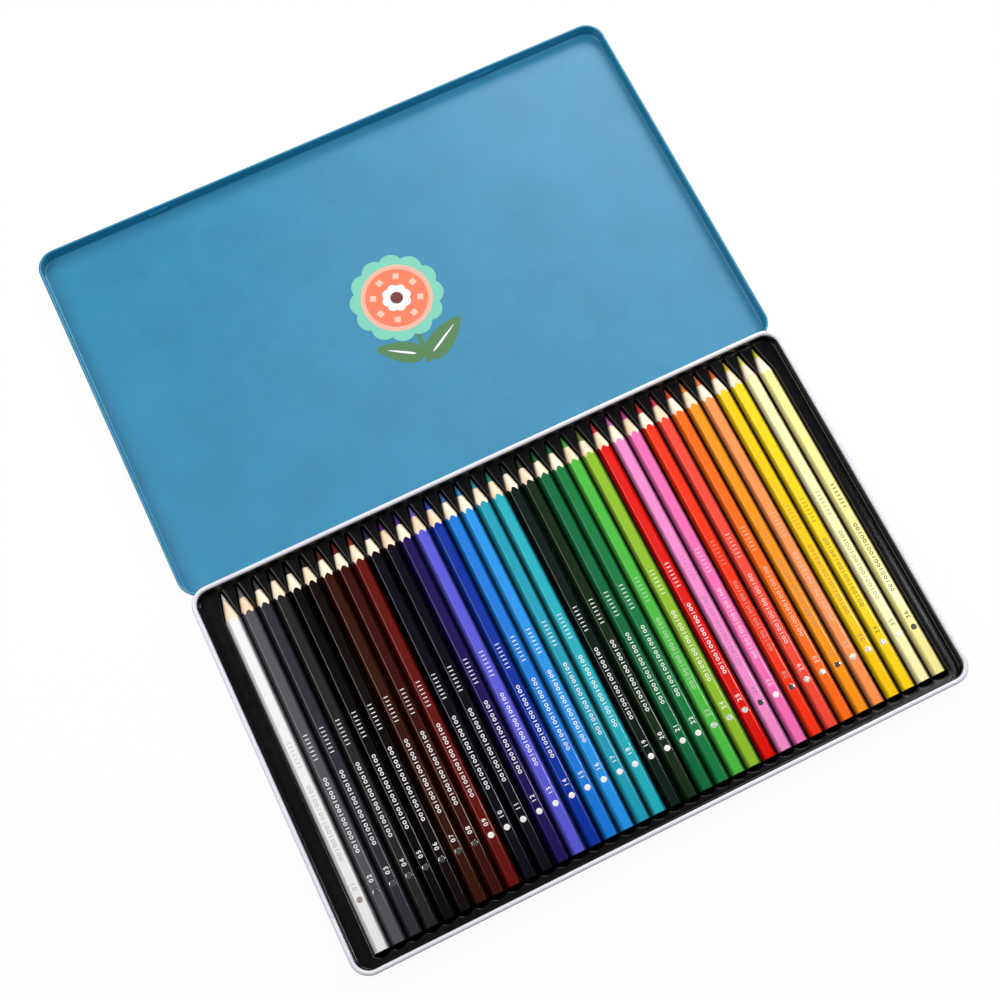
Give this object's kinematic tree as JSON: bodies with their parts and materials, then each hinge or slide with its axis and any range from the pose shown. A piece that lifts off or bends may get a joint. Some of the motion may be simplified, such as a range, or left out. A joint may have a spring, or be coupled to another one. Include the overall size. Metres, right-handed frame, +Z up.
{
  "type": "hinged pencil tin",
  "caption": "Flat hinged tin for one row of colouring pencils: shallow tray with rolled rim, grooved insert, pencils side by side, and a lid that folds back flat.",
  "frame": {"origin": "on the table under the middle of the open tin's outline", "axes": "+X along the row of pencils, to the right; +Y from the tray to the lid that lies open behind it; +Z up"},
  "size_m": [0.3038, 0.375, 0.0135],
  "materials": {
    "tray_tinplate": "smooth satin white lacquer",
    "lid_tinplate": "satin teal blue lacquer",
    "insert_plastic": "black thermoformed sheet, soft gloss",
    "hinge_wire": "bright drawn wire",
    "pencil_01_lacquer": "gloss lacquer over wood, sharpened to bare wood and a coloured lead",
    "pencil_02_lacquer": "gloss lacquer over wood, sharpened to bare wood and a coloured lead",
    "pencil_03_lacquer": "gloss lacquer over wood, sharpened to bare wood and a coloured lead",
    "pencil_04_lacquer": "gloss lacquer over wood, sharpened to bare wood and a coloured lead",
    "pencil_05_lacquer": "gloss lacquer over wood, sharpened to bare wood and a coloured lead",
    "pencil_06_lacquer": "gloss lacquer over wood, sharpened to bare wood and a coloured lead",
    "pencil_07_lacquer": "gloss lacquer over wood, sharpened to bare wood and a coloured lead",
    "pencil_08_lacquer": "gloss lacquer over wood, sharpened to bare wood and a coloured lead",
    "pencil_09_lacquer": "gloss lacquer over wood, sharpened to bare wood and a coloured lead",
    "pencil_10_lacquer": "gloss lacquer over wood, sharpened to bare wood and a coloured lead",
    "pencil_11_lacquer": "gloss lacquer over wood, sharpened to bare wood and a coloured lead",
    "pencil_12_lacquer": "gloss lacquer over wood, sharpened to bare wood and a coloured lead",
    "pencil_13_lacquer": "gloss lacquer over wood, sharpened to bare wood and a coloured lead",
    "pencil_14_lacquer": "gloss lacquer over wood, sharpened to bare wood and a coloured lead",
    "pencil_15_lacquer": "gloss lacquer over wood, sharpened to bare wood and a coloured lead",
    "pencil_16_lacquer": "gloss lacquer over wood, sharpened to bare wood and a coloured lead",
    "pencil_17_lacquer": "gloss lacquer over wood, sharpened to bare wood and a coloured lead",
    "pencil_18_lacquer": "gloss lacquer over wood, sharpened to bare wood and a coloured lead",
    "pencil_19_lacquer": "gloss lacquer over wood, sharpened to bare wood and a coloured lead",
    "pencil_20_lacquer": "gloss lacquer over wood, sharpened to bare wood and a coloured lead",
    "pencil_21_lacquer": "gloss lacquer over wood, sharpened to bare wood and a coloured lead",
    "pencil_22_lacquer": "gloss lacquer over wood, sharpened to bare wood and a coloured lead",
    "pencil_23_lacquer": "gloss lacquer over wood, sharpened to bare wood and a coloured lead",
    "pencil_24_lacquer": "gloss lacquer over wood, sharpened to bare wood and a coloured lead",
    "pencil_25_lacquer": "gloss lacquer over wood, sharpened to bare wood and a coloured lead",
    "pencil_26_lacquer": "gloss lacquer over wood, sharpened to bare wood and a coloured lead",
    "pencil_27_lacquer": "gloss lacquer over wood, sharpened to bare wood and a coloured lead",
    "pencil_28_lacquer": "gloss lacquer over wood, sharpened to bare wood and a coloured lead",
    "pencil_29_lacquer": "gloss lacquer over wood, sharpened to bare wood and a coloured lead",
    "pencil_30_lacquer": "gloss lacquer over wood, sharpened to bare wood and a coloured lead",
    "pencil_31_lacquer": "gloss lacquer over wood, sharpened to bare wood and a coloured lead",
    "pencil_32_lacquer": "gloss lacquer over wood, sharpened to bare wood and a coloured lead",
    "pencil_33_lacquer": "gloss lacquer over wood, sharpened to bare wood and a coloured lead",
    "pencil_34_lacquer": "gloss lacquer over wood, sharpened to bare wood and a coloured lead",
    "pencil_35_lacquer": "gloss lacquer over wood, sharpened to bare wood and a coloured lead",
    "pencil_36_lacquer": "gloss lacquer over wood, sharpened to bare wood and a coloured lead"
  },
  "bodies": {
    "base": {"tray": "tray_tinplate", "insert": "insert_plastic", "hinge_pin_left": "hinge_wire", "hinge_pin_right": "hinge_wire"},
    "lid": {"lid": "lid_tinplate"},
    "pencil_01": {"pencil_01": "pencil_01_lacquer"},
    "pencil_02": {"pencil_02": "pencil_02_lacquer"},
    "pencil_03": {"pencil_03": "pencil_03_lacquer"},
    "pencil_04": {"pencil_04": "pencil_04_lacquer"},
    "pencil_05": {"pencil_05": "pencil_05_lacquer"},
    "pencil_06": {"pencil_06": "pencil_06_lacquer"},
    "pencil_07": {"pencil_07": "pencil_07_lacquer"},
    "pencil_08": {"pencil_08": "pencil_08_lacquer"},
    "pencil_09": {"pencil_09": "pencil_09_lacquer"},
    "pencil_10": {"pencil_10": "pencil_10_lacquer"},
    "pencil_11": {"pencil_11": "pencil_11_lacquer"},
    "pencil_12": {"pencil_12": "pencil_12_lacquer"},
    "pencil_13": {"pencil_13": "pencil_13_lacquer"},
    "pencil_14": {"pencil_14": "pencil_14_lacquer"},
    "pencil_15": {"pencil_15": "pencil_15_lacquer"},
    "pencil_16": {"pencil_16": "pencil_16_lacquer"},
    "pencil_17": {"pencil_17": "pencil_17_lacquer"},
    "pencil_18": {"pencil_18": "pencil_18_lacquer"},
    "pencil_19": {"pencil_19": "pencil_19_lacquer"},
    "pencil_20": {"pencil_20": "pencil_20_lacquer"},
    "pencil_21": {"pencil_21": "pencil_21_lacquer"},
    "pencil_22": {"pencil_22": "pencil_22_lacquer"},
    "pencil_23": {"pencil_23": "pencil_23_lacquer"},
    "pencil_24": {"pencil_24": "pencil_24_lacquer"},
    "pencil_25": {"pencil_25": "pencil_25_lacquer"},
    "pencil_26": {"pencil_26": "pencil_26_lacquer"},
    "pencil_27": {"pencil_27": "pencil_27_lacquer"},
    "pencil_28": {"pencil_28": "pencil_28_lacquer"},
    "pencil_29": {"pencil_29": "pencil_29_lacquer"},
    "pencil_30": {"pencil_30": "pencil_30_lacquer"},
    "pencil_31": {"pencil_31": "pencil_31_lacquer"},
    "pencil_32": {"pencil_32": "pencil_32_lacquer"},
    "pencil_33": {"pencil_33": "pencil_33_lacquer"},
    "pencil_34": {"pencil_34": "pencil_34_lacquer"},
    "pencil_35": {"pencil_35": "pencil_35_lacquer"},
    "pencil_36": {"pencil_36": "pencil_36_lacquer"}
  },
  "joints": [
    {"name": "lid_hinge", "type": "hinge", "parent": "base", "child": "lid", "pos_m": [0, -0.00075, 0.007], "axis": [-1, 0, 0], "range_deg": [-180, 0]},
    {"name": "pencil_01_lift", "type": "slide", "parent": "base", "child": "pencil_01", "axis": [0, 0, 1], "range_m": [0, 0.02]},
    {"name": "pencil_02_lift", "type": "slide", "parent": "base", "child": "pencil_02", "axis": [0, 0, 1], "range_m": [0, 0.02]},
    {"name": "pencil_03_lift", "type": "slide", "parent": "base", "child": "pencil_03", "axis": [0, 0, 1], "range_m": [0, 0.02]},
    {"name": "pencil_04_lift", "type": "slide", "parent": "base", "child": "pencil_04", "axis": [0, 0, 1], "range_m": [0, 0.02]},
    {"name": "pencil_05_lift", "type": "slide", "parent": "base", "child": "pencil_05", "axis": [0, 0, 1], "range_m": [0, 0.02]},
    {"name": "pencil_06_lift", "type": "slide", "parent": "base", "child": "pencil_06", "axis": [0, 0, 1], "range_m": [0, 0.02]},
    {"name": "pencil_07_lift", "type": "slide", "parent": "base", "child": "pencil_07", "axis": [0, 0, 1], "range_m": [0, 0.02]},
    {"name": "pencil_08_lift", "type": "slide", "parent": "base", "child": "pencil_08", "axis": [0, 0, 1], "range_m": [0, 0.02]},
    {"name": "pencil_09_lift", "type": "slide", "parent": "base", "child": "pencil_09", "axis": [0, 0, 1], "range_m": [0, 0.02]},
    {"name": "pencil_10_lift", "type": "slide", "parent": "base", "child": "pencil_10", "axis": [0, 0, 1], "range_m": [0, 0.02]},
    {"name": "pencil_11_lift", "type": "slide", "parent": "base", "child": "pencil_11", "axis": [0, 0, 1], "range_m": [0, 0.02]},
    {"name": "pencil_12_lift", "type": "slide", "parent": "base", "child": "pencil_12", "axis": [0, 0, 1], "range_m": [0, 0.02]},
    {"name": "pencil_13_lift", "type": "slide", "parent": "base", "child": "pencil_13", "axis": [0, 0, 1], "range_m": [0, 0.02]},
    {"name": "pencil_14_lift", "type": "slide", "parent": "base", "child": "pencil_14", "axis": [0, 0, 1], "range_m": [0, 0.02]},
    {"name": "pencil_15_lift", "type": "slide", "parent": "base", "child": "pencil_15", "axis": [0, 0, 1], "range_m": [0, 0.02]},
    {"name": "pencil_16_lift", "type": "slide", "parent": "base", "child": "pencil_16", "axis": [0, 0, 1], "range_m": [0, 0.02]},
    {"name": "pencil_17_lift", "type": "slide", "parent": "base", "child": "pencil_17", "axis": [0, 0, 1], "range_m": [0, 0.02]},
    {"name": "pencil_18_lift", "type": "slide", "parent": "base", "child": "pencil_18", "axis": [0, 0, 1], "range_m": [0, 0.02]},
    {"name": "pencil_19_lift", "type": "slide", "parent": "base", "child": "pencil_19", "axis": [0, 0, 1], "range_m": [0, 0.02]},
    {"name": "pencil_20_lift", "type": "slide", "parent": "base", "child": "pencil_20", "axis": [0, 0, 1], "range_m": [0, 0.02]},
    {"name": "pencil_21_lift", "type": "slide", "parent": "base", "child": "pencil_21", "axis": [0, 0, 1], "range_m": [0, 0.02]},
    {"name": "pencil_22_lift", "type": "slide", "parent": "base", "child": "pencil_22", "axis": [0, 0, 1], "range_m": [0, 0.02]},
    {"name": "pencil_23_lift", "type": "slide", "parent": "base", "child": "pencil_23", "axis": [0, 0, 1], "range_m": [0, 0.02]},
    {"name": "pencil_24_lift", "type": "slide", "parent": "base", "child": "pencil_24", "axis": [0, 0, 1], "range_m": [0, 0.02]},
    {"name": "pencil_25_lift", "type": "slide", "parent": "base", "child": "pencil_25", "axis": [0, 0, 1], "range_m": [0, 0.02]},
    {"name": "pencil_26_lift", "type": "slide", "parent": "base", "child": "pencil_26", "axis": [0, 0, 1], "range_m": [0, 0.02]},
    {"name": "pencil_27_lift", "type": "slide", "parent": "base", "child": "pencil_27", "axis": [0, 0, 1], "range_m": [0, 0.02]},
    {"name": "pencil_28_lift", "type": "slide", "parent": "base", "child": "pencil_28", "axis": [0, 0, 1], "range_m": [0, 0.02]},
    {"name": "pencil_29_lift", "type": "slide", "parent": "base", "child": "pencil_29", "axis": [0, 0, 1], "range_m": [0, 0.02]},
    {"name": "pencil_30_lift", "type": "slide", "parent": "base", "child": "pencil_30", "axis": [0, 0, 1], "range_m": [0, 0.02]},
    {"name": "pencil_31_lift", "type": "slide", "parent": "base", "child": "pencil_31", "axis": [0, 0, 1], "range_m": [0, 0.02]},
    {"name": "pencil_32_lift", "type": "slide", "parent": "base", "child": "pencil_32", "axis": [0, 0, 1], "range_m": [0, 0.02]},
    {"name": "pencil_33_lift", "type": "slide", "parent": "base", "child": "pencil_33", "axis": [0, 0, 1], "range_m": [0, 0.02]},
    {"name": "pencil_34_lift", "type": "slide", "parent": "base", "child": "pencil_34", "axis": [0, 0, 1], "range_m": [0, 0.02]},
    {"name": "pencil_35_lift", "type": "slide", "parent": "base", "child": "pencil_35", "axis": [0, 0, 1], "range_m": [0, 0.02]},
    {"name": "pencil_36_lift", "type": "slide", "parent": "base", "child": "pencil_36", "axis": [0, 0, 1], "range_m": [0, 0.02]}
  ]
}
